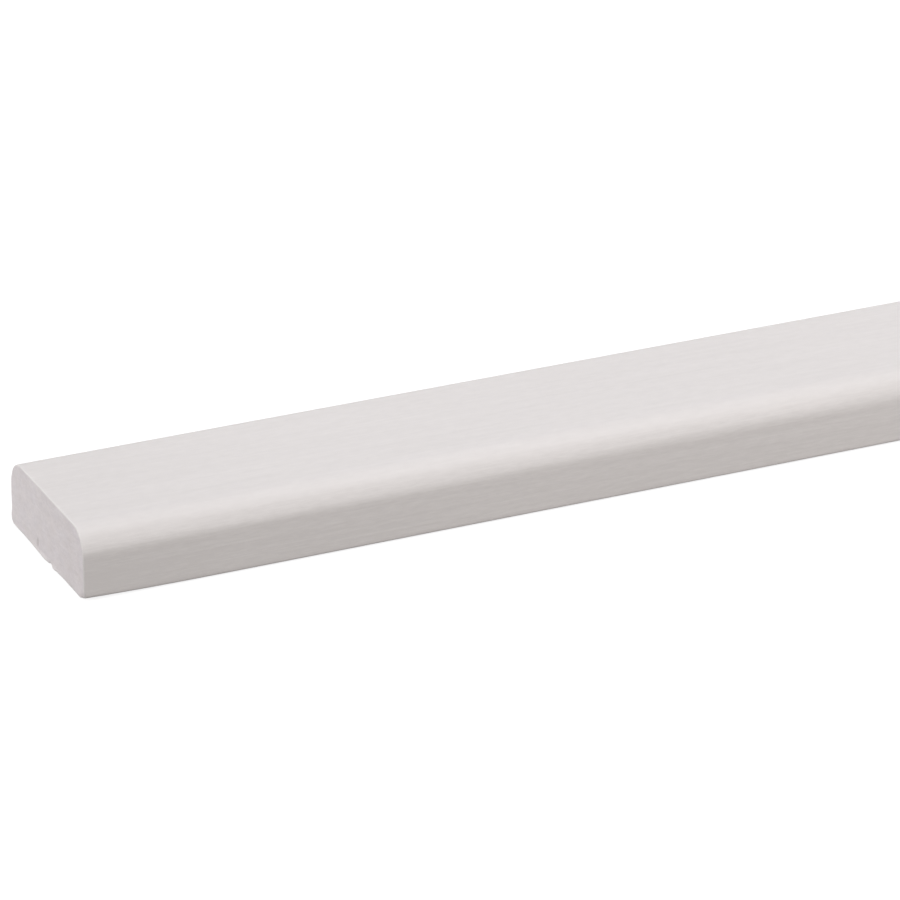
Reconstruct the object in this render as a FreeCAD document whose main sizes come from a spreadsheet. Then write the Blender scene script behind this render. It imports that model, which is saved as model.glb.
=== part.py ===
import FreeCAD, Part
import math
import os

import Sketcher

# Architrave moulding: one straight length of primed trim, with a flat back that lies on the wall,
# a flat face, and both long edges of the face rounded over to a quarter circle.
#
# The frame, in millimetres: X runs along the length, Y across the width from the near edge to the
# far edge, and Z from the back to the face. The origin is in the middle of the back.

# Driving dimensions: alias, value and meaning
DRIVING_SIZES = (
    ("stock_length", 2400.0, "a stock length that such trim is sold in"),
    ("stock_width", 44.0, "finished width, from sawn stock of 50"),
    ("stock_thickness", 16.0, "finished thickness, from the back to the face"),
    ("face_rounding", 6.0, "radius of both long edges of the face"),
    ("back_arris", 1.0, "radius of both long edges of the back"),
)

# Places on a line or an arc of a sketch
START = 1
END = 2

# A sketch's own horizontal axis and origin
HORIZONTAL_AXIS = -1
ORIGIN = (-1, 1)


def make_sheet(doc):
    """The spreadsheet of driving dimensions, one row each, with its alias on the value."""
    sheet = doc.addObject("Spreadsheet::Sheet", "Sizes")
    for row, (alias, value, meaning) in enumerate(DRIVING_SIZES, start=1):
        sheet.set(f"A{row}", alias)
        sheet.set(f"B{row}", str(value))
        sheet.set(f"C{row}", meaning)
        sheet.setAlias(f"B{row}", alias)
    doc.recompute()
    return sheet


def origin_plane(body, role):
    """One of the body's own origin planes, by its role."""
    for feature in body.Origin.OriginFeatures:
        if feature.Role == role:
            return feature
    raise ValueError(f"{body.Label} has no plane {role}")


def outline_of_section(sheet):
    """Lines and arcs of the section in turn, from the back round by the far edge, the face and the near edge."""
    half_width = sheet.get("stock_width") / 2
    thickness = sheet.get("stock_thickness")
    face = sheet.get("face_rounding")
    back = sheet.get("back_arris")
    # Each corner's place, which way it lies from its arc's centre, and its radius
    corners = (
        (half_width, 0.0, 1, -1, back),
        (half_width, thickness, 1, 1, face),
        (-half_width, thickness, -1, 1, face),
        (-half_width, 0.0, -1, -1, back),
    )
    arcs = []
    for turn, (across, up, side, level, radius) in enumerate(corners):
        centre = FreeCAD.Vector(across - side * radius, up - level * radius, 0)
        first = math.radians(90 * (turn - 1))
        circle = Part.Circle(centre, FreeCAD.Vector(0, 0, 1), radius)
        arcs.append(Part.ArcOfCircle(circle, first, first + math.radians(90)))
    outline = []
    for turn, arc in enumerate(arcs):
        outline.append(Part.LineSegment(arcs[turn - 1].EndPoint, arc.StartPoint))
        outline.append(arc)
    return outline


def draw_section(sketch, sheet):
    """The closed outline of the section, fully constrained to the driving dimensions."""
    sketch.addGeometry(outline_of_section(sheet), False)
    back, far_back_arc, far_edge, far_face_arc, face, near_face_arc, near_edge, near_back_arc = range(8)

    # Every line runs smoothly into the arc beside it
    ring = (back, far_back_arc, far_edge, far_face_arc, face, near_face_arc, near_edge, near_back_arc)
    for place, element in enumerate(ring):
        sketch.addConstraint(Sketcher.Constraint("Tangent", ring[place - 1], END, element, START))
    for level_line in (back, face):
        sketch.addConstraint(Sketcher.Constraint("Horizontal", level_line))
    for upright_line in (far_edge, near_edge):
        sketch.addConstraint(Sketcher.Constraint("Vertical", upright_line))

    # Both edges of the face share one radius, and so do both edges of the back
    sketch.addConstraint(Sketcher.Constraint("Equal", far_face_arc, near_face_arc))
    sketch.addConstraint(Sketcher.Constraint("Equal", far_back_arc, near_back_arc))

    # The back lies on the base line
    sketch.addConstraint(Sketcher.Constraint("PointOnObject", back, START, HORIZONTAL_AXIS))

    # Sizes bound to the sheet: the constraint's name, what it measures and its expression
    width = sheet.get("stock_width")
    bound = (
        ("width", ("DistanceX", near_edge, END, far_edge, START, width), "Sizes.stock_width"),
        ("half_width", ("DistanceX", *ORIGIN, far_edge, START, width / 2), "Sizes.stock_width / 2"),
        ("thickness", ("DistanceY", *ORIGIN, face, START, sheet.get("stock_thickness")), "Sizes.stock_thickness"),
        ("face_radius", ("Radius", far_face_arc, sheet.get("face_rounding")), "Sizes.face_rounding"),
        ("back_radius", ("Radius", far_back_arc, sheet.get("back_arris")), "Sizes.back_arris"),
    )
    for name, measure, expression in bound:
        number = sketch.addConstraint(Sketcher.Constraint(*measure))
        sketch.renameConstraint(number, name)
        sketch.setExpression(f"Constraints.{name}", expression)


def make_architrave(doc, sheet):
    """The moulding itself: its section drawn across the stock, then run the whole length."""
    body = doc.addObject("PartDesign::Body", "Architrave")
    body.Label = "architrave"

    section = body.newObject("Sketcher::SketchObject", "Section")
    section.AttachmentSupport = (origin_plane(body, "YZ_Plane"), [""])
    section.MapMode = "FlatFace"
    draw_section(section, sheet)
    doc.recompute()

    length = body.newObject("PartDesign::Pad", "Length")
    length.Profile = section
    length.SideType = "Symmetric"
    length.setExpression("Length", "Sizes.stock_length")
    doc.recompute()

    if not section.FullyConstrained:
        raise RuntimeError("the section isn't fully constrained")
    return body


def check(doc, bodies):
    """Stops with a plain message where an object failed or a body isn't one valid solid."""
    for item in doc.Objects:
        if "Invalid" in item.State or "Error" in item.State:
            raise RuntimeError(f"{item.Label} failed: {item.State}")
    for body in bodies:
        shape = body.Shape
        if shape.isNull() or not shape.isValid() or len(shape.Solids) != 1:
            raise RuntimeError(f"{body.Label} isn't one valid solid")


def export(bodies):
    """Writes each body to parts/LABEL.step and prints its size and volume."""
    os.makedirs("parts", exist_ok=True)
    for body in bodies:
        box = body.Shape.BoundBox
        body.Shape.exportStep(os.path.join("parts", f"{body.Label}.step"))
        print(f"{body.Label}: {box.XLength:.2f} x {box.YLength:.2f} x {box.ZLength:.2f} mm")
        print(f"{body.Label}: volume {body.Shape.Volume / 1000:.1f} cm3")


def main():
    doc = FreeCAD.newDocument("ArchitraveMoulding")
    sheet = make_sheet(doc)
    bodies = [make_architrave(doc, sheet)]
    doc.recompute()
    check(doc, bodies)
    export(bodies)


main()
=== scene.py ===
import math

import bpy
import numpy as np
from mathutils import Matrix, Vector, noise
from mathutils.geometry import delaunay_2d_cdt


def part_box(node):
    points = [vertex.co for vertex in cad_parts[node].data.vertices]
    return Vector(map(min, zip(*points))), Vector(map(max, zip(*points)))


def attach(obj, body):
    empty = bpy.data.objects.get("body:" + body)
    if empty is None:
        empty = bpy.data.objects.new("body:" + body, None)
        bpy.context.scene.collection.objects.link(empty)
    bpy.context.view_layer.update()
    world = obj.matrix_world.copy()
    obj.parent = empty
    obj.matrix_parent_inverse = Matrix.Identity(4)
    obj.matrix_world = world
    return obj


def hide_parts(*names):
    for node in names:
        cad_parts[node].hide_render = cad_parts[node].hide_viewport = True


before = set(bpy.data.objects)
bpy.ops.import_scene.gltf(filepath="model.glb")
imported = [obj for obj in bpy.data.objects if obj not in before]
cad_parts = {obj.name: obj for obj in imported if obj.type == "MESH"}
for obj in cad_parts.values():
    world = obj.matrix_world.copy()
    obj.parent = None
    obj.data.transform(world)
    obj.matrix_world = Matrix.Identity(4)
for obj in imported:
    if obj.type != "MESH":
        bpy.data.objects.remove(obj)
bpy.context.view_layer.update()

# A primed architrave moulding on a white floor, seen from over its near left corner.
# The camera sees only the first 0.24 m of the stock; the rest is finished just the same.

MM = 0.001
QUARTER_TURN = math.radians(90)
LOW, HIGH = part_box("architrave")
LENGTH = HIGH.x - LOW.x
WIDTH = HIGH.y - LOW.y
THICKNESS = HIGH.z - LOW.z

# The section, as the solid has it
FACE_ROUNDING = 6.0 * MM
BACK_ARRIS = 1.0 * MM

# Softened edge round each sawn end, how far the paint's relief may reach under the solid's skin, how far
# the ends lie under it at the back, and how much further at the face, as the saw was not quite square
END_ARRIS = 0.28 * MM
PAINT_SINK = 0.03 * MM
END_SINK = 0.31 * MM
END_LEAN = 0.18 * MM

# How far along the stock an end's sinking and its unevenness fade out, and how near its plane a point
# counts as the end's own
END_SINK_REACH = 4.2 * MM
END_UNEVEN_REACH = 1.2 * MM
END_PLANE = 0.1 * MM

# Unevenness of the sawn ends, in two layers: the size of a cell across and up, the depth, and a number
# that keeps the layers apart. Each end has a number of its own too.
END_LAYERS = (
    (2.6 * MM, 3.4 * MM, 0.035 * MM, 0.0),
    (0.8 * MM, 1.3 * MM, 0.018 * MM, 9.0),
)
SEEN_END_SEED = 3.0
FAR_END_SEED = 31.0

# Spacing of the mesh's points round the section
FACE_SPACING = 0.55 * MM
EDGE_SPACING = 0.5 * MM
BACK_SPACING = 1.6 * MM
NICK_SPACING = 0.22 * MM
ROUNDING_STEPS = 24
ARRIS_STEPS = 6

# Rings of points along the stock: those that round an end's edge over, the first ones behind it, and the
# spacing over the seen length, in the middle and over the last stretch
END_ARRIS_STEPS = 3
FIRST_RINGS = (0.6 * MM, 1.0 * MM, 1.6 * MM, 2.5 * MM, 4.0 * MM)
SEEN_LENGTH = 280.0 * MM
SEEN_SPACING = 4.0 * MM
FAR_SPACING = 12.0 * MM
LAST_STRETCH = 60.0 * MM

# The torn fibres on the back arris of the seen end: lips and the nick between them, by their
# distance from the near edge, half width along the arris, and how far they stand out. The lips stay
# a little behind the solid's own end.
NICK_REACH = 1.3 * MM
LIPS = (
    (27.6 * MM, 3.0 * MM, 0.18 * MM),
    (23.4 * MM, 1.9 * MM, 0.27 * MM),
    (17.8 * MM, 1.0 * MM, 0.32 * MM),
    (15.2 * MM, 1.6 * MM, 0.10 * MM),
)
LIP_CLEARANCE = 0.01 * MM
NICK_CENTRE = 20.3 * MM
NICK_HALF_WIDTH = 0.6 * MM
NICK_DEPTH = 0.16 * MM
NICK_LIFT = 0.14 * MM
NICK_STRETCH = (12.0 * MM, 30.0 * MM)

# The near back arris is worn away from below towards the seen end: how deep at the end, how fast that
# fades along the stock, where it stops, and how far from the corner it reaches
WEAR_DEPTH = 0.6 * MM
WEAR_FADE = 13.0 * MM
WEAR_LENGTH = 48.0 * MM
WEAR_REACH = 2.6 * MM

# Dents and bulges of the seen end: distance from the near edge, height, reach, and depth inwards. Its two
# lower corners are worn back, and the far edge bulges a little above its one.
END_DENTS = (
    (0.0 * MM, 0.0 * MM, 2.4 * MM, 0.5 * MM),
    (44.0 * MM, 0.0 * MM, 1.3 * MM, 0.1 * MM),
    (43.8 * MM, 2.0 * MM, 2.2 * MM, -0.19 * MM),
    (44.0 * MM, 7.3 * MM, 5.0 * MM, -0.08 * MM),
)

# The cutter left a faint hollow along the near rounding: the direction it faces, measured from the
# face's own towards the near edge's, its half width round the section and its depth. The flats on both
# sides start where the direction is their own to within a tenth of a degree.
HOLLOW_DEGREES = 59.7
HOLLOW_HALF_WIDTH = 1.15 * MM
HOLLOW_DEPTH = 0.1 * MM
FLAT_DEGREES = 0.1

# The short check in the seen end, where the primer didn't take. Its colour is darkened, partly for the bare
# wood and partly as painted shade
# of a deeper crack than its relief has: its foot and its top in the section, half width at the foot and at
# the top, depth, how square its sides are, and where it starts and runs out, as shares of the way from foot
# to top
CHECK_FOOT = (28.3 * MM, 0.8 * MM)
CHECK_TOP = (27.25 * MM, 3.6 * MM)
CHECK_HALF_WIDTHS = (0.75 * MM, 0.5 * MM)
CHECK_DEPTH = 0.14 * MM
CHECK_SQUARENESS = 4
CHECK_START = (-0.15, 0.15)
CHECK_RUN_OUT = (0.4, 1.15)

# A sawn end's own points: their spacing, how far they keep from its rounded edge, and the closer patches
# of the seen end over its torn fibres and its check, by stretch across, stretch up and spacing
END_SPACING = 0.62 * MM
END_MARGIN = 0.15 * MM
SEEN_END_PATCHES = (
    (NICK_STRETCH, (0.3 * MM, 2.0 * MM), 0.25 * MM),
    ((26.3 * MM, 29.5 * MM), (0.45 * MM, 4.1 * MM), 0.13 * MM),
)

# The kind of triangulation that keeps to the inside of the outline, and the distance under which it
# takes two points for one
TRIANGLES_INSIDE = 1
SAME_POINT = 1e-7

# Raised grain under the primer, in the long faces: how many ridges and hollows, between which half widths
# and half lengths they lie, and the greatest height of one
GRAIN_COUNT = 420
GRAIN_HALF_WIDTHS = (0.5 * MM, 2.2 * MM)
GRAIN_HALF_LENGTHS = (30.0 * MM, 220.0 * MM)
GRAIN_HEIGHT = 0.012 * MM
GRAIN_SEED = 7

# Painted light on the back arrises: their colour is lightened to stand in for light thrown up from the floor.
# The product of the two parts of a point's outward direction is 0 on the flats and 0.5 in the middle of an
# arris, so this gain leaves the painted light full over most of it.
ARRIS_LIGHT_GAIN = 4.0

# The flat map of the finish: the long faces in strips of equal length, one over the other, and above them the
# two ends side by side, with enough room for their finer texture
MAP_NAME = "OFBake"
MAP_STRIPS = 2
MAP_END_HEIGHT = 0.19
MAP_MARGIN = 0.008


def rise(values, start, end):
    """0 before the start, 1 after the end, and a smooth change between."""
    share = np.clip((values - start) / (end - start), 0.0, 1.0)
    return share * share * (3.0 - 2.0 * share)


def fade(values, reach):
    """1 at 0, falling smoothly to 0 at the reach."""
    return 1.0 - rise(values, 0.0, reach)


def bell(values, half_width):
    """1 in the middle, falling smoothly to 0 at twice the half width."""
    return fade(np.abs(values), 2.0 * half_width)


# The section's outline

def even_stops(distance, spacing):
    """Shares of the way that are about the spacing apart, from 0 and short of 1."""
    count = max(1, round(distance / spacing))
    return np.arange(count) / count


def back_stops(distance, first_y):
    """The same along the back, but closer where the fibres are torn."""
    turns = (first_y, LOW.y + NICK_STRETCH[0], LOW.y + NICK_STRETCH[1], first_y + distance)
    spacings = (BACK_SPACING, NICK_SPACING, BACK_SPACING)
    places = [start + even_stops(end - start, spacing) * (end - start)
              for start, end, spacing in zip(turns, turns[1:], spacings)]
    return (np.concatenate(places) - first_y) / distance


def section_outline():
    """Points round the section, with the outward direction at each and the distance walked so far."""
    corners = (
        (HIGH.y - BACK_ARRIS, LOW.z + BACK_ARRIS, BACK_ARRIS, ARRIS_STEPS),
        (HIGH.y - FACE_ROUNDING, HIGH.z - FACE_ROUNDING, FACE_ROUNDING, ROUNDING_STEPS),
        (LOW.y + FACE_ROUNDING, HIGH.z - FACE_ROUNDING, FACE_ROUNDING, ROUNDING_STEPS),
        (LOW.y + BACK_ARRIS, LOW.z + BACK_ARRIS, BACK_ARRIS, ARRIS_STEPS),
    )
    spacings = (None, EDGE_SPACING, FACE_SPACING, EDGE_SPACING)
    points = []
    outward = []
    for turn, (across, up, radius, steps) in enumerate(corners):
        centre = np.array([across, up])
        first = QUARTER_TURN * (turn - 1)
        facing = np.array([math.cos(first), math.sin(first)])
        before = corners[turn - 1]
        start = np.array(before[:2]) + before[2] * facing
        end = centre + radius * facing
        distance = np.linalg.norm(end - start)
        if spacings[turn] is None:
            stops = back_stops(distance, start[0])
        else:
            stops = even_stops(distance, spacings[turn])
        points.append(start + stops[:, None] * (end - start))
        outward.append(np.tile(facing, (len(stops), 1)))
        angles = first + np.arange(steps) / steps * QUARTER_TURN
        fan = np.column_stack([np.cos(angles), np.sin(angles)])
        points.append(centre + radius * fan)
        outward.append(fan)
    points = np.concatenate(points)
    outward = np.concatenate(outward)
    walked = np.concatenate([[0.0], np.cumsum(np.linalg.norm(np.diff(points, axis=0), axis=1))])
    return points, outward, walked


# Places of the rings along the stock

def rings_between_edges():
    """Distances of the rings from the seen end, between the two rounded edges."""
    near = np.array(FIRST_RINGS)
    seen = np.arange(near[-1] + SEEN_SPACING, SEEN_LENGTH, SEEN_SPACING)
    last_start = LENGTH - LAST_STRETCH
    middle_count = round((last_start - seen[-1]) / FAR_SPACING)
    middle = np.linspace(seen[-1], last_start, middle_count + 1)[1:]
    last = np.arange(last_start + SEEN_SPACING, LENGTH - 2 * near[-1], SEEN_SPACING)
    return np.concatenate([near, seen, middle, last, LENGTH - near[::-1]])


def all_rings():
    """Distance of each ring from the seen end, and how far the rounded edge draws it in."""
    angles = np.linspace(0.0, QUARTER_TURN, END_ARRIS_STEPS + 1)
    edge_depths = END_ARRIS * (1.0 - np.cos(angles))
    edge_insets = END_ARRIS * (1.0 - np.sin(angles))
    inner = rings_between_edges()
    depths = np.concatenate([edge_depths, inner, LENGTH - edge_depths[::-1]])
    insets = np.concatenate([edge_insets, np.zeros(len(inner)), edge_insets[::-1]])
    return depths, insets


# Relief of the painted surface

def grain_relief(walked, depths, around):
    """Height of the raised grain at each ring (rows) and each point round the section (columns)."""
    draw = np.random.default_rng(GRAIN_SEED)
    height = np.zeros((len(depths), len(walked)))
    for _ in range(GRAIN_COUNT):
        place = draw.uniform(0.0, around)
        half_width = draw.uniform(*GRAIN_HALF_WIDTHS)
        middle = draw.uniform(0.0, LENGTH)
        half_length = draw.uniform(*GRAIN_HALF_LENGTHS)
        size = draw.uniform(-1.0, 1.0) * GRAIN_HEIGHT
        apart = np.abs(walked - place)
        apart = np.minimum(apart, around - apart)
        height += size * np.outer(bell(depths - middle, half_length), bell(apart, half_width))
    return np.clip(height, -PAINT_SINK, PAINT_SINK)


def hollow_relief(outward):
    """Depth of the hollow along the near rounding at each point round the section."""
    facing = np.degrees(np.arctan2(-outward[:, 0], outward[:, 1]))
    on_rounding = (facing > FLAT_DEGREES) & (facing < 90.0 - FLAT_DEGREES)
    apart = np.radians(facing - HOLLOW_DEGREES) * FACE_ROUNDING
    return HOLLOW_DEPTH * bell(apart, HOLLOW_HALF_WIDTH) * on_rounding


def arris_painted_light(outward):
    """1 at the points round the section on the back arrises, where the colour is lightened as painted light
    from the floor, and 0 elsewhere.
    """
    below = outward[:, 1] < 0.0
    return below * np.minimum(ARRIS_LIGHT_GAIN * np.abs(outward[:, 0] * outward[:, 1]), 1.0)


def end_relief(y, z, seed):
    """Unevenness of a sawn and primed end, as a depth inwards: soft dents and a fine fibre texture."""
    depth = np.zeros(len(y))
    for cell_width, cell_height, size, apart in END_LAYERS:
        for number in range(len(y)):
            place = Vector((y[number] / cell_width, z[number] / cell_height, seed + apart))
            depth[number] += size * noise.noise(place)
    return depth


def torn_arris(depth, y, z):
    """Offsets of the seen end near its torn back arris: how far inwards, and how far up."""
    from_near_edge = y - LOW.y
    close = fade(depth, NICK_REACH) * fade(z - LOW.z, NICK_REACH)
    inwards = np.zeros(len(y))
    for centre, half_width, stand_out in LIPS:
        inwards -= stand_out * bell(from_near_edge - centre, half_width)
    nick = bell(from_near_edge - NICK_CENTRE, NICK_HALF_WIDTH)
    inwards = np.maximum(inwards * (1.0 - nick), LIP_CLEARANCE - END_SINK) + NICK_DEPTH * nick
    return inwards * close, NICK_LIFT * nick * close


def worn_arris(points):
    """The points with those of the near back arris lifted near the seen end."""
    depth = points[:, 0] - LOW.x
    across = points[:, 1] - LOW.y
    up = points[:, 2] - LOW.z
    along = WEAR_DEPTH * np.exp(-depth / WEAR_FADE) * fade(depth, WEAR_LENGTH)
    lifted = along * fade(np.hypot(across, up), WEAR_REACH)
    return points + np.outer(lifted, (0.0, 0.0, 1.0))


def check_fullness(y, z):
    """How fully a point of the seen end lies in the short check, from 0 to 1."""
    foot = np.array(CHECK_FOOT) + (LOW.y, LOW.z)
    top = np.array(CHECK_TOP) + (LOW.y, LOW.z)
    along = top - foot
    reach = np.linalg.norm(along)
    along = along / reach
    places = np.column_stack([y, z]) - foot
    share = places @ along / reach
    aside = places @ np.array([-along[1], along[0]])
    width = np.interp(share, (0.0, 1.0), CHECK_HALF_WIDTHS)
    lengthwise = rise(share, *CHECK_START) * (1.0 - rise(share, *CHECK_RUN_OUT))
    return np.exp(-((aside / width) ** CHECK_SQUARENESS)) * lengthwise


def shape_ends(points):
    """Sinks both sawn ends under the solid's own, uneven, and adds the flaws of the seen one."""
    points = points.copy()
    for seen, seed in ((True, SEEN_END_SEED), (False, FAR_END_SEED)):
        depth = points[:, 0] - LOW.x if seen else HIGH.x - points[:, 0]
        near = np.flatnonzero(depth < END_SINK_REACH)
        depth = depth[near]
        y = points[near, 1]
        z = points[near, 2]
        uneven = fade(depth, END_UNEVEN_REACH)
        lean = END_LEAN * (z - LOW.z) / THICKNESS
        inwards = (END_SINK + lean) * fade(depth, END_SINK_REACH) + end_relief(y, z, seed) * uneven
        if seen:
            torn, lift = torn_arris(depth, y, z)
            inwards += torn + CHECK_DEPTH * check_fullness(y, z) * (depth < END_PLANE)
            for across, height, reach, dent in END_DENTS:
                apart = np.hypot(y - LOW.y - across, z - LOW.z - height)
                inwards += dent * fade(apart, reach) * uneven
            points[near, 2] += lift
        points[near, 0] += inwards if seen else -inwards
    return points


# The sawn ends' own points

def patch(y_range, z_range, spacing):
    """A grid of points over part of the section. The ranges are measured from the near lower corner."""
    across = np.arange(*y_range, spacing)
    up = np.arange(*z_range, spacing)
    grid = np.stack(np.meshgrid(across, up), axis=-1).reshape(-1, 2)
    return grid + (LOW.y, LOW.z)


def inside_section(points, margin):
    """Which points lie inside the section, at least the margin from its outline."""
    middle_y = (LOW.y + HIGH.y) / 2
    across = np.abs(points[:, 0] - middle_y)
    up = points[:, 1]
    inside = (across < WIDTH / 2 - margin) & (up > LOW.z + margin) & (up < HIGH.z - margin)
    beyond_y = across - (WIDTH / 2 - FACE_ROUNDING)
    beyond_z = up - (HIGH.z - FACE_ROUNDING)
    in_rounding = (beyond_y > 0) & (beyond_z > 0)
    too_far = np.hypot(beyond_y, beyond_z) > FACE_ROUNDING - margin
    back_y = across - (WIDTH / 2 - BACK_ARRIS)
    back_z = LOW.z + BACK_ARRIS - up
    in_arris = (back_y > 0) & (back_z > 0)
    off_back = np.hypot(back_y, back_z) > max(BACK_ARRIS - margin, 0.0)
    return inside & ~(in_rounding & too_far) & ~(in_arris & off_back)


def end_points(seen):
    """Points inside a sawn end's rounded edge: an even grid, and finer ones at the seen end's flaws."""
    points = [patch((0.0, WIDTH), (0.0, THICKNESS), END_SPACING)]
    for y_range, z_range, spacing in SEEN_END_PATCHES if seen else ():
        for done, rows in enumerate(points):
            across, up = (rows - (LOW.y, LOW.z)).T
            covered = (across > y_range[0] - spacing) & (across < y_range[1] + spacing)
            covered &= (up > z_range[0] - spacing) & (up < z_range[1] + spacing)
            points[done] = rows[~covered]
        points.append(patch(y_range, z_range, spacing))
    points = np.concatenate(points)
    return points[inside_section(points, END_ARRIS + END_MARGIN)]


# The flat map

def in_margins(share, start, size):
    """A share of a stretch of the map, kept off the stretch's borders."""
    return start + MAP_MARGIN + share * (size - 2.0 * MAP_MARGIN)


def skin_on_map(depths, walked, around):
    """Where the long faces' corners lie on the map, four for each quad, ring by ring."""
    along = np.column_stack([depths[:-1], depths[:-1], depths[1:], depths[1:]]) / LENGTH * MAP_STRIPS
    strip = np.floor(along.mean(axis=1))[:, None, None]
    after = np.append(walked[1:], around)
    turned = np.column_stack([walked, after, after, walked]) / around
    height = (1.0 - MAP_END_HEIGHT) / MAP_STRIPS
    across = in_margins(along[:, None, :] - strip, 0.0, 1.0)
    up = in_margins(turned[None, :, :], strip * height, height)
    return np.stack(np.broadcast_arrays(across, up), axis=-1).reshape(-1, 2)


def ends_on_map(points):
    """Where points of the sawn ends lie on the map, the seen end on the left."""
    far = points[:, 0] > (LOW.x + HIGH.x) / 2
    across = in_margins((points[:, 1] - LOW.y) / WIDTH, 0.5 * far, 0.5)
    up = in_margins((points[:, 2] - LOW.z) / THICKNESS, 1.0 - MAP_END_HEIGHT, MAP_END_HEIGHT)
    return np.column_stack([across, up])


# The mesh

def ring_points(outline, outward, depths, sunk):
    """The points of all rings, ring by ring: the outline, drawn in by how far each point is sunk."""
    y = outline[:, 0] - sunk * outward[:, 0]
    z = outline[:, 1] - sunk * outward[:, 1]
    x = np.broadcast_to((LOW.x + depths)[:, None], y.shape)
    return np.stack([x, y, z], axis=-1).reshape(-1, 3)


def quads_between(rings, per_ring):
    """The long faces' quads, ring by ring, as numbers of their four points."""
    first = np.arange((rings - 1) * per_ring).reshape(rings - 1, per_ring)
    beside = np.roll(first, -1, axis=1)
    quads = np.stack([first, beside, beside + per_ring, first + per_ring], axis=-1)
    return [tuple(quad) for quad in quads.reshape(-1, 4).tolist()]


def end_triangles(border, inner, border_start, inner_start, seen):
    """Triangles over a sawn end's border and its own points, as numbers of their three points."""
    flat = [Vector(point) for point in np.concatenate([border, inner])]
    loop = list(range(len(border)))
    made, _, triangles, _, _, _ = delaunay_2d_cdt(flat, [], [loop], TRIANGLES_INSIDE, SAME_POINT)
    if len(made) != len(flat):
        raise RuntimeError("the sawn end's triangles don't use its points as they are")
    number = np.concatenate([border_start + np.arange(len(border)), inner_start + np.arange(len(inner))])
    order = -1 if seen else 1
    return [tuple(number[triangle[::order]].tolist()) for triangle in triangles]


def make_moulding():
    """The whole moulding as one closed mesh: rings round the section, and a sawn end on each side."""
    outline, outward, walked = section_outline()
    around = walked[-1] + np.linalg.norm(outline[0] - outline[-1])
    depths, insets = all_rings()
    sunk = insets[:, None] + PAINT_SINK - grain_relief(walked, depths, around) + hollow_relief(outward)
    skin = worn_arris(ring_points(outline, outward, depths, sunk))
    faces = quads_between(len(depths), len(outline))
    quad_count = len(faces)

    points = skin
    for seen in (True, False):
        border_start = 0 if seen else len(skin) - len(outline)
        border = skin[border_start:border_start + len(outline), 1:]
        inner = end_points(seen)
        faces += end_triangles(border, inner, border_start, len(points), seen)
        end_x = np.full(len(inner), LOW.x if seen else HIGH.x)
        points = np.concatenate([points, np.column_stack([end_x, inner])])

    # Where the check darkens the colour: bare wood, and painted shade of a deep crack
    bare_and_shaded = check_fullness(points[:, 1], points[:, 2]) * (points[:, 0] < LOW.x + END_PLANE)
    # Painted light: where the back arrises' colour is lightened, as if lit from the floor
    floor_light = np.zeros(len(points))
    floor_light[:len(skin)] = np.tile(arris_painted_light(outward), len(depths))
    end_corners = np.concatenate(faces[quad_count:])
    on_map = np.concatenate([skin_on_map(depths, walked, around), ends_on_map(points[end_corners])])

    mesh = bpy.data.meshes.new("moulding")
    mesh.from_pydata(shape_ends(points).tolist(), [], faces)
    mesh.update()
    mesh.attributes.new("bare_and_shaded", "FLOAT", "POINT").data.foreach_set("value", bare_and_shaded)
    mesh.attributes.new("painted_floor_light", "FLOAT", "POINT").data.foreach_set("value", floor_light)
    mesh.uv_layers.new(name=MAP_NAME).uv.foreach_set("vector", on_map.astype(np.float32).ravel())
    on_end = np.arange(len(faces)) >= quad_count
    mesh.polygons.foreach_set("use_smooth", [True] * len(faces))
    mesh.polygons.foreach_set("material_index", on_end.astype(np.int32))
    piece = bpy.data.objects.new("moulding", mesh)
    bpy.context.scene.collection.objects.link(piece)
    return piece


# Building blocks of the materials

# The range that most of a noise's values keep to, and its middle
NOISE_RANGE = (0.3, 0.7)
NOISE_MIDDLE = 0.5
WHITE = (1.0, 1.0, 1.0)


def emptied_tree(owner):
    """The node tree of a material or world, with nothing in it."""
    owner.use_nodes = True
    owner.node_tree.nodes.clear()
    return owner.node_tree


def add_node(tree, kind, settings=None, **inputs):
    """A shader node with some settings and input values. The inputs go by their names, with _ for a space."""
    made = tree.nodes.new(kind)
    for name, value in (settings or {}).items():
        setattr(made, name, value)
    for name, value in inputs.items():
        made.inputs[name.replace("_", " ")].default_value = value
    return made


def calculated(tree, operation, first, second):
    """The result of a calculation on two values. The second may be a plain number."""
    made = add_node(tree, "ShaderNodeMath", {"operation": operation})
    tree.links.new(first, made.inputs[0])
    if isinstance(second, float):
        made.inputs[1].default_value = second
    else:
        tree.links.new(second, made.inputs[1])
    return made.outputs[0]


def weighted(tree, terms):
    """The sum of values, each with its weight."""
    total = None
    for value, weight in terms:
        product = calculated(tree, "MULTIPLY", value, weight)
        total = product if total is None else calculated(tree, "ADD", total, product)
    return total


def amplified(tree, value, gain):
    """A noise's value with its distance from the middle multiplied by a gain."""
    centred = calculated(tree, "SUBTRACT", value, NOISE_MIDDLE)
    scaled = calculated(tree, "MULTIPLY", centred, gain)
    return calculated(tree, "ADD", scaled, NOISE_MIDDLE)


def mapped(tree, value, start, end, first, last, smooth=True):
    """A value that goes from first to last as another goes from the start to the end, and not beyond."""
    kind = "SMOOTHSTEP" if smooth else "LINEAR"
    made = add_node(
        tree, "ShaderNodeMapRange", {"interpolation_type": kind},
        From_Min=start, From_Max=end, To_Min=first, To_Max=last,
    )
    tree.links.new(value, made.inputs["Value"])
    return made.outputs["Result"]


def between(tree, value, low, high):
    """A value that runs from low to high as the noise runs over its usual range."""
    return mapped(tree, value, *NOISE_RANGE, low, high, smooth=False)


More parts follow.
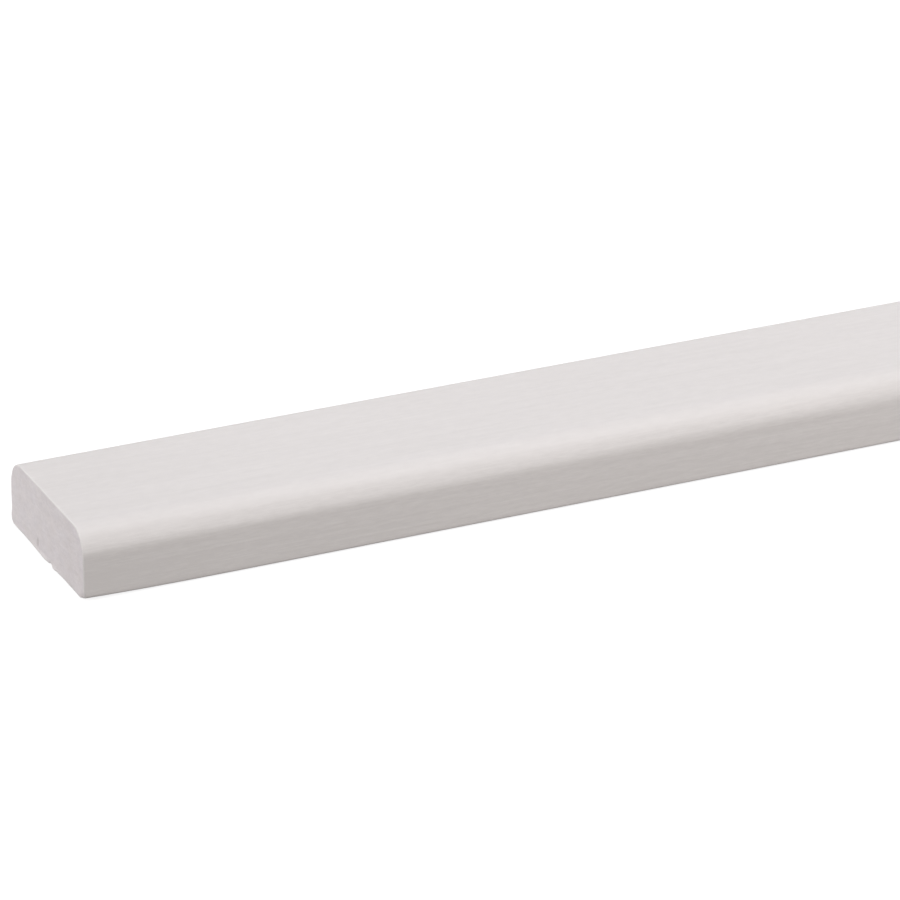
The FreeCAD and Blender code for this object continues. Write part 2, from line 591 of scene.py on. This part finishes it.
def stretched_noise(tree, place, cells, detail, roughness):
    """A noise of the object's own coordinates, with so many cells in a metre along X, Y and Z."""
    mapping = add_node(tree, "ShaderNodeMapping", Scale=cells)
    tree.links.new(place, mapping.inputs["Vector"])
    made = add_node(tree, "ShaderNodeTexNoise", Scale=1.0, Detail=detail, Roughness=roughness)
    tree.links.new(mapping.outputs["Vector"], made.inputs["Vector"])
    return made.outputs["Fac"]


def attribute(tree, name):
    """A value that the mesh holds at its points."""
    return add_node(tree, "ShaderNodeAttribute", {"attribute_name": name}).outputs["Fac"]


def part_of(tree, place, axis):
    """One of the coordinates, as a value in metres."""
    parts = tree.nodes.new("ShaderNodeSeparateXYZ")
    tree.links.new(place, parts.inputs[0])
    return parts.outputs[axis]


def colour_socket(sockets, name):
    """The colour socket of that name, among those of the same name for other kinds of value."""
    return next(socket for socket in sockets if socket.name == name and socket.type == "RGBA")


def blended_colour(tree, factor, first, second):
    """A colour between two others."""
    mix = add_node(tree, "ShaderNodeMix", {"data_type": "RGBA"})
    colour_socket(mix.inputs, "A").default_value = (*first, 1.0)
    colour_socket(mix.inputs, "B").default_value = (*second, 1.0)
    tree.links.new(factor, mix.inputs["Factor"])
    return colour_socket(mix.outputs, "Result")


def multiplied(tree, first, second):
    """The product of two colours."""
    mix = add_node(tree, "ShaderNodeMix", {"data_type": "RGBA", "blend_type": "MULTIPLY"}, Factor=1.0)
    tree.links.new(first, colour_socket(mix.inputs, "A"))
    tree.links.new(second, colour_socket(mix.inputs, "B"))
    return colour_socket(mix.outputs, "Result")


def bumped(tree, shader, height, distance):
    """Gives the shader a relief of that height."""
    bump = add_node(tree, "ShaderNodeBump", Strength=1.0, Distance=distance)
    tree.links.new(height, bump.inputs["Height"])
    tree.links.new(bump.outputs["Normal"], shader.inputs["Normal"])


def new_material(name, specular):
    """A material with nothing but its output and shader, and the object's own coordinates."""
    material = bpy.data.materials.new(name)
    tree = emptied_tree(material)
    output = tree.nodes.new("ShaderNodeOutputMaterial")
    shader = tree.nodes.new("ShaderNodeBsdfPrincipled")
    shader.inputs["Specular IOR Level"].default_value = specular
    tree.links.new(shader.outputs["BSDF"], output.inputs["Surface"])
    place = tree.nodes.new("ShaderNodeTexCoord").outputs["Object"]
    return material, tree, shader, place


# The primer on the long faces. Each noise has its cells in a metre along X, Y and Z, its detail and its
# roughness.

FACE_BROAD = ((7.0, 300.0, 420.0), 3.0, 0.55)
FACE_FINE = ((25.0, 1000.0, 1900.0), 3.0, 0.6)
FACE_SHORT = ((300.0, 600.0, 1500.0), 3.0, 0.6)
FACE_CLOUD = ((16.0, 45.0, 45.0), 2.0, 0.55)
FACE_TONE_WEIGHTS = (0.25, 0.25, 0.35, 0.15)
FACE_RELIEF_WEIGHTS = (0.4, 0.3, 0.3)
FACE_DARKER = (0.738, 0.709, 0.698)
FACE_LIGHTER = (0.806, 0.776, 0.766)
FACE_ROUGHNESS = (0.66, 0.80)
FACE_SPECULAR = 0.25
FACE_BUMP = 0.09 * MM

# The streaks stand out more on the edges than on the face. The change lies between these depths under
# the face.
EDGE_CONTRAST = 2.0
FACE_CONTRAST = 1.08
CONTRAST_CHANGE = (4.0 * MM, 0.5 * MM)

# Painted shade: the colour is a little darker all round towards the seen end, and more so and over a longer
# stretch on the flat of the edges, which starts between these depths under the face. It stands in for the
# light falling off towards that end.
END_SHADE_LENGTH = 60.0 * MM
PAINTED_END_SHADE = -0.08
EDGE_SHADE_LENGTH = 150.0 * MM
PAINTED_EDGE_SHADE = -0.12
EDGE_SHADE_START = (5.5 * MM, 3.5 * MM)

# Painted light on the back arrises: what their colour is multiplied by, standing in for light thrown up from
# the floor
ARRIS_PAINTED_LIGHT = (1.08, 1.08, 1.08)


def near_seen_end(tree, place, reach):
    """1 at the seen end, falling smoothly to 0 over that length of the stock."""
    return mapped(tree, part_of(tree, place, "X"), LOW.x, LOW.x + reach, 1.0, 0.0)


def by_depth(tree, place, deeper, higher, first, last):
    """First where a point lies deeper than that under the face, last where it lies higher than that."""
    return mapped(tree, part_of(tree, place, "Z"), HIGH.z - deeper, HIGH.z - higher, first, last)


def primed_face():
    """Thin white primer over planed softwood: faint streaks along the grain, in colour, gloss and relief."""
    material, tree, shader, place = new_material("primed_face", FACE_SPECULAR)
    broad, fine, short, cloud = (
        stretched_noise(tree, place, *kind) for kind in (FACE_BROAD, FACE_FINE, FACE_SHORT, FACE_CLOUD)
    )
    tone = weighted(tree, zip((broad, fine, short, cloud), FACE_TONE_WEIGHTS))
    contrast = by_depth(tree, place, *CONTRAST_CHANGE, EDGE_CONTRAST, FACE_CONTRAST)
    tone = amplified(tree, tone, contrast)
    # Painted shade: darker colour towards the seen end, all round and more on the flat of the edges
    shade_all_round = near_seen_end(tree, place, END_SHADE_LENGTH)
    shade_on_edges = calculated(
        tree, "MULTIPLY",
        near_seen_end(tree, place, EDGE_SHADE_LENGTH),
        by_depth(tree, place, *EDGE_SHADE_START, 1.0, 0.0),
    )
    tone = weighted(tree, ((tone, 1.0), (shade_on_edges, PAINTED_EDGE_SHADE), (shade_all_round, PAINTED_END_SHADE)))
    colour = blended_colour(tree, between(tree, tone, 0.0, 1.0), FACE_DARKER, FACE_LIGHTER)
    # Painted light: the back arrises' colour is lightened as if lit from the floor
    floor_light = blended_colour(tree, attribute(tree, "painted_floor_light"), WHITE, ARRIS_PAINTED_LIGHT)
    tree.links.new(multiplied(tree, colour, floor_light), shader.inputs["Base Color"])
    tree.links.new(between(tree, broad, *FACE_ROUGHNESS), shader.inputs["Roughness"])
    bumped(tree, shader, weighted(tree, zip((broad, fine, short), FACE_RELIEF_WEIGHTS)), FACE_BUMP)
    return material


# The primer on the sawn ends.

END_MOTTLE = ((500.0, 260.0, 560.0), 3.0, 0.6)
END_FIBRE = ((1500.0, 900.0, 1800.0), 3.0, 0.6)
END_HUE = ((250.0, 170.0, 320.0), 1.0, 0.55)
END_TONE_WEIGHTS = (0.56, 0.44)
END_LIGHTER_ACROSS = 3.9
END_DARKER = (0.689, 0.646, 0.654)
END_LIGHTER = (0.809, 0.766, 0.774)
END_WARM = (1.004, 1.0, 0.99)
END_COOL = (0.996, 1.0, 1.01)
# Darkening in the check: partly bare wood, partly painted shade of a deep crack
CHECK_BARE_AND_SHADE = (0.86, 0.845, 0.845)
END_ROUGHNESS = (0.62, 0.8)
END_SPECULAR = 0.3
END_BUMP = 0.12 * MM


def primed_end():
    """The same primer soaked into a sawn end: mottled, rougher and a little uneven."""
    material, tree, shader, place = new_material("primed_end", END_SPECULAR)
    mottle, fibre, hue = (
        stretched_noise(tree, place, *kind) for kind in (END_MOTTLE, END_FIBRE, END_HUE)
    )
    across = part_of(tree, place, "Y")
    tone = weighted(tree, zip((mottle, fibre, across), (*END_TONE_WEIGHTS, END_LIGHTER_ACROSS)))
    grey = blended_colour(tree, between(tree, tone, 0.0, 1.0), END_DARKER, END_LIGHTER)
    tint = blended_colour(tree, between(tree, hue, 0.0, 1.0), END_WARM, END_COOL)
    # Painted shade and bare wood in the check
    shade = blended_colour(tree, attribute(tree, "bare_and_shaded"), WHITE, CHECK_BARE_AND_SHADE)
    colour = multiplied(tree, multiplied(tree, grey, tint), shade)
    tree.links.new(colour, shader.inputs["Base Color"])
    tree.links.new(between(tree, mottle, *END_ROUGHNESS), shader.inputs["Roughness"])
    bumped(tree, shader, tone, END_BUMP)
    return material


# Surroundings: a white floor and a soft sky. What the camera and mirrors see of the floor is lifted to
# white and keeps a soft shadow, and what light meets is darker, so that it adds little to the moulding.
# The floor reaches so many metres each way, and lies a little under the moulding.

SKY_STRENGTH = 0.3
FLOOR_REFLECTANCE = (0.2, 0.2, 0.2)
FLOOR_SEEN_REFLECTANCE = (0.3, 0.3, 0.3)
FLOOR_SEEN_LIFT = 0.85
FLOOR_REACH = 60.0
FLOOR_DROP = 0.1 * MM


def show_or_light(tree, seen, lighting, output):
    """One shader for what the camera, a mirror or glass shows, and the other for all that lights."""
    path = tree.nodes.new("ShaderNodeLightPath").outputs
    reflected = calculated(tree, "MAXIMUM", path["Is Glossy Ray"], path["Is Transmission Ray"])
    directly = calculated(tree, "MAXIMUM", path["Is Camera Ray"], reflected)
    mix = tree.nodes.new("ShaderNodeMixShader")
    tree.links.new(directly, mix.inputs["Fac"])
    tree.links.new(lighting, mix.inputs[1])
    tree.links.new(seen, mix.inputs[2])
    tree.links.new(mix.outputs[0], output.inputs["Surface"])


def floor_material():
    """White where it is seen, and keeping the moulding's shadow."""
    material = bpy.data.materials.new("white_floor")
    tree = emptied_tree(material)
    pale = add_node(tree, "ShaderNodeBsdfDiffuse", Color=(*FLOOR_REFLECTANCE, 1.0))
    shadowed = add_node(tree, "ShaderNodeBsdfDiffuse", Color=(*FLOOR_SEEN_REFLECTANCE, 1.0))
    lift = add_node(tree, "ShaderNodeEmission", Color=(*WHITE, 1.0), Strength=FLOOR_SEEN_LIFT)
    seen = tree.nodes.new("ShaderNodeAddShader")
    tree.links.new(shadowed.outputs[0], seen.inputs[0])
    tree.links.new(lift.outputs[0], seen.inputs[1])
    show_or_light(tree, seen.outputs[0], pale.outputs[0], tree.nodes.new("ShaderNodeOutputMaterial"))
    return material


def make_floor():
    """A wide white floor just under the moulding."""
    level = LOW.z - FLOOR_DROP
    signs = ((-1, -1), (1, -1), (1, 1), (-1, 1))
    corners = [(x * FLOOR_REACH, y * FLOOR_REACH, level) for x, y in signs]
    mesh = bpy.data.meshes.new("floor")
    mesh.from_pydata(corners, [], [(0, 1, 2, 3)])
    mesh.materials.append(floor_material())
    floor = bpy.data.objects.new("floor", mesh)
    bpy.context.scene.collection.objects.link(floor)


def make_world():
    """A plain soft sky that lights the moulding, and white wherever it is seen."""
    world = bpy.data.worlds.new("studio")
    bpy.context.scene.world = world
    tree = emptied_tree(world)
    sky = add_node(tree, "ShaderNodeBackground", Color=(*WHITE, 1.0), Strength=SKY_STRENGTH)
    white = add_node(tree, "ShaderNodeBackground", Color=(*WHITE, 1.0), Strength=1.0)
    show_or_light(tree, white.outputs[0], sky.outputs[0], tree.nodes.new("ShaderNodeOutputWorld"))


# Lamps: a broad one overhead, one on the left that lights the seen end and a low one behind, each with
# the direction from the moulding back to it, its strength, its width in degrees and its colour, and a low
# softbox in front and to the right. Colours are linear.

SUNS = (
    ("top", (0.0, 0.0, 1.0), 1.258, 50.0, (0.963, 0.968, 1.0)),
    ("left", (-1.0, 0.0, 0.35), 1.738, 50.0, (1.0, 0.982, 0.973)),
    ("back", (0.6, 0.8, 0.06), 0.408, 12.0, WHITE),
)
BOX_PLACE = (0.2, -1.6, 0.4)
BOX_TARGET = (0.0, 0.0, 0.0)
BOX_SIDE = 1.0
BOX_POWER = 22.8
BOX_COLOUR = (1.0, 0.955, 0.919)


def place_lamp(lamp, towards, position=(0.0, 0.0, 0.0)):
    """Puts a lamp in the scene. towards points from the moulding back to the lamp."""
    holder = bpy.data.objects.new(lamp.name, lamp)
    holder.location = position
    holder.rotation_mode = "QUATERNION"
    holder.rotation_quaternion = Vector(towards).to_track_quat("Z", "Y")
    bpy.context.scene.collection.objects.link(holder)


def make_lamps():
    for name, towards, strength, width_degrees, colour in SUNS:
        sun = bpy.data.lights.new(name, "SUN")
        sun.energy = strength
        sun.angle = math.radians(width_degrees)
        sun.color = colour
        place_lamp(sun, towards)
    box = bpy.data.lights.new("box", "AREA")
    box.shape = "SQUARE"
    box.size = BOX_SIDE
    box.energy = BOX_POWER
    box.color = BOX_COLOUR
    place_lamp(box, Vector(BOX_PLACE) - Vector(BOX_TARGET), BOX_PLACE)


# Camera, at the photograph's viewing angle. Its place is measured from the near lower corner of the seen
# end, and its focal length is given in pixels of the picture.

CAMERA_FROM_CORNER = (-0.34142, -0.92805, 0.48270)
CAMERA_AZIMUTH = math.radians(24.726)
CAMERA_ELEVATION = math.radians(24.393)
PICTURE_WIDTH = 900
FOCAL_LENGTH_PER_PICTURE_WIDTH = 5160.7 / PICTURE_WIDTH
SENSOR_WIDTH = 36.0
NEAREST_SEEN = 0.05
FARTHEST_SEEN = 200.0


def make_camera():
    data = bpy.data.cameras.new("camera")
    data.sensor_width = SENSOR_WIDTH
    data.lens = SENSOR_WIDTH * FOCAL_LENGTH_PER_PICTURE_WIDTH
    data.clip_start = NEAREST_SEEN
    data.clip_end = FARTHEST_SEEN
    camera = bpy.data.objects.new("camera", data)
    camera.location = Vector(LOW) + Vector(CAMERA_FROM_CORNER)
    forward = Vector((
        math.sin(CAMERA_AZIMUTH) * math.cos(CAMERA_ELEVATION),
        math.cos(CAMERA_AZIMUTH) * math.cos(CAMERA_ELEVATION),
        -math.sin(CAMERA_ELEVATION),
    ))
    camera.rotation_mode = "QUATERNION"
    camera.rotation_quaternion = forward.to_track_quat("-Z", "Y")
    bpy.context.scene.collection.objects.link(camera)
    bpy.context.scene.camera = camera


moulding = make_moulding()
moulding.data.materials.append(primed_face())
moulding.data.materials.append(primed_end())
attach(moulding, "root")
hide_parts("architrave")

make_floor()
make_world()
make_lamps()
make_camera()
bpy.context.scene.view_settings.view_transform = "Standard"
